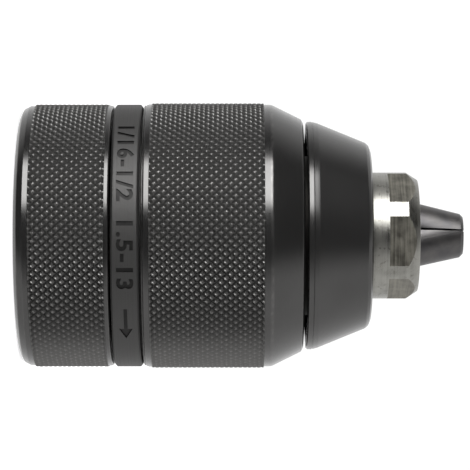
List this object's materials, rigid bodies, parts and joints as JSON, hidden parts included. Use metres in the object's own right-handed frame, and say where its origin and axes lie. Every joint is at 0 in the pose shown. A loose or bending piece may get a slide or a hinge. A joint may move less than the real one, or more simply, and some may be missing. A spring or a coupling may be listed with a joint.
{
  "type": "keyless drill chuck",
  "caption": "Two-sleeve keyless drill chuck with three inclined jaws, a threaded rear socket, a hexagon nose and an internal ratchet lock.",
  "frame": {"origin": "centre of the rear face, on the chuck axis", "axes": "+Z along the chuck axis from the spindle end to the jaws; jaw 1 lies at azimuth 90 degrees, on the +Y side"},
  "size_m": [0.043, 0.043, 0.0715],
  "materials": {
    "turned_steel": "bare turned steel, hexagon flats milled matt",
    "black_oxide_sleeve": "black oxide over diamond knurling, satin",
    "black_oxide_ring": "black oxide, satin turned band",
    "black_oxide_cap": "black oxide, smooth satin cone",
    "hardened_jaw_steel": "dark hardened steel, ground",
    "nut_steel": "hardened steel, phosphated",
    "spring_steel": "tempered spring steel",
    "bearing_steel": "polished bearing steel"
  },
  "bodies": {
    "body": {"chuck_body": "turned_steel", "rear_sleeve": "black_oxide_sleeve", "marking_ring": "black_oxide_ring", "front_cap": "black_oxide_cap", "ratchet_race": "bearing_steel"},
    "nut": {"nut_half_a": "nut_steel", "nut_half_b": "nut_steel", "nut_band": "spring_steel", "nut_race": "bearing_steel", "pawl_rivet": "bearing_steel"},
    "bearing": {"ball_cage": "spring_steel", "ball_01": "bearing_steel", "ball_02": "bearing_steel", "ball_03": "bearing_steel", "ball_04": "bearing_steel", "ball_05": "bearing_steel", "ball_06": "bearing_steel", "ball_07": "bearing_steel", "ball_08": "bearing_steel", "ball_09": "bearing_steel", "ball_10": "bearing_steel", "ball_11": "bearing_steel", "ball_12": "bearing_steel", "ball_13": "bearing_steel", "ball_14": "bearing_steel", "ball_15": "bearing_steel", "ball_16": "bearing_steel"},
    "jaw_1": {"jaw_1": "hardened_jaw_steel"},
    "jaw_2": {"jaw_2": "hardened_jaw_steel"},
    "jaw_3": {"jaw_3": "hardened_jaw_steel"},
    "sleeve": {"clamping_sleeve": "black_oxide_sleeve", "cam_ring": "spring_steel"},
    "pawl": {"pawl": "spring_steel"}
  },
  "joints": [
    {"name": "nut_spin", "type": "hinge", "parent": "body", "child": "nut", "pos_m": [0, 0, 0.035], "axis": [0, 0, 1], "range_deg": [0, 5330]},
    {"name": "bearing_spin", "type": "hinge", "parent": "body", "child": "bearing", "pos_m": [0, 0, 0.02775], "axis": [0, 0, 1], "range_deg": [0, 2665]},
    {"name": "jaw_1_slide", "type": "slide", "parent": "body", "child": "jaw_1", "axis": [0, 0.2588, -0.9659], "range_m": [0, 0.02221]},
    {"name": "jaw_2_slide", "type": "slide", "parent": "body", "child": "jaw_2", "axis": [-0.2241, -0.1294, -0.9659], "range_m": [0, 0.02221]},
    {"name": "jaw_3_slide", "type": "slide", "parent": "body", "child": "jaw_3", "axis": [0.2241, -0.1294, -0.9659], "range_m": [0, 0.02221]},
    {"name": "lock_turn", "type": "hinge", "parent": "nut", "child": "sleeve", "pos_m": [0, 0, 0.0345], "axis": [0, 0, 1], "range_deg": [-28, 0]},
    {"name": "pawl_swing", "type": "hinge", "parent": "nut", "child": "pawl", "pos_m": [0.00953, 0.0165, 0.0278], "axis": [0, 0, 1], "range_deg": [-3.2, 0]}
  ],
  "couplings": [
    {"joint": "bearing_spin", "follows": "nut_spin", "ratio": 0.5},
    {"joint": "jaw_1_slide", "follows": "nut_spin", "m_per_rad": 0.00023873},
    {"joint": "jaw_2_slide", "follows": "nut_spin", "m_per_rad": 0.00023873},
    {"joint": "jaw_3_slide", "follows": "nut_spin", "m_per_rad": 0.00023873},
    {"joint": "pawl_swing", "follows": "lock_turn", "ratio": 0.11429}
  ]
}
